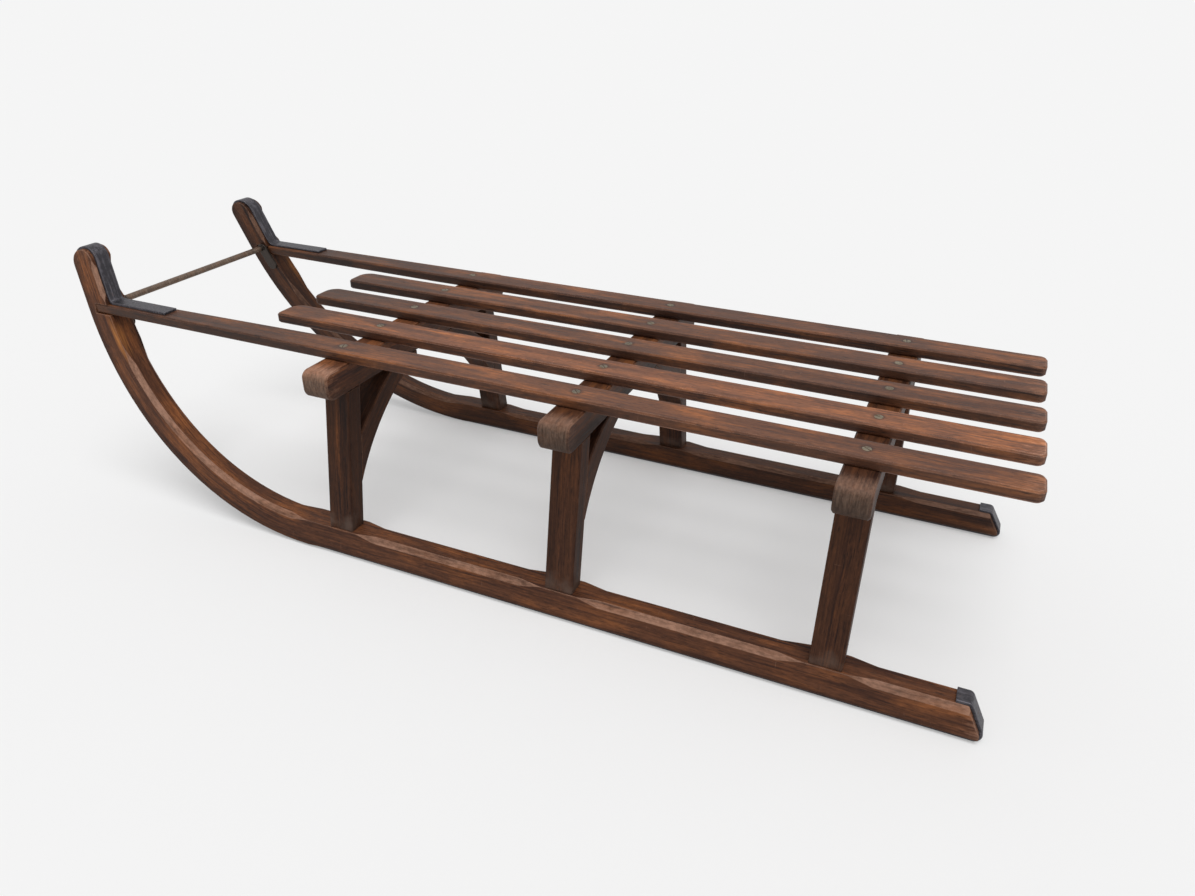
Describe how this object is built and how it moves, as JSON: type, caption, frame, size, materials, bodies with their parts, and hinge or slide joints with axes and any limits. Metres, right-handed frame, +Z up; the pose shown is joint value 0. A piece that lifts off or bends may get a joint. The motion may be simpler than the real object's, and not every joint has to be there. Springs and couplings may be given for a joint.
{
  "type": "davos sled",
  "caption": "Long wooden sled with bent runners that rise to open horns, iron soles, splayed post frames with curved braces and a seat of slats.",
  "frame": {"origin": "on the floor, midway along the whole length and midway between the runners", "axes": "+X forward, towards the horns; +Y to the sled's left; +Z up"},
  "size_m": [1.1, 0.383, 0.3115],
  "materials": {
    "stained_wood": "dark red-brown stain, worn",
    "dark_iron": "black forged strip iron, dull"
  },
  "bodies": {
    "root": {"runner_left": "stained_wood", "runner_right": "stained_wood", "sole_iron_left": "dark_iron", "sole_iron_right": "dark_iron", "post_front_left": "stained_wood", "post_front_right": "stained_wood", "post_middle_left": "stained_wood", "post_middle_right": "stained_wood", "post_rear_left": "stained_wood", "post_rear_right": "stained_wood", "brace_front_left": "stained_wood", "brace_front_right": "stained_wood", "brace_middle_left": "stained_wood", "brace_middle_right": "stained_wood", "crossbar_front": "stained_wood", "crossbar_middle": "stained_wood", "crossbar_rear": "stained_wood", "slat_outer_left": "stained_wood", "slat_outer_right": "stained_wood", "slat_inner_left": "stained_wood", "slat_inner_right": "stained_wood", "slat_centre": "stained_wood", "horn_rod": "dark_iron"}
  },
  "joints": []
}
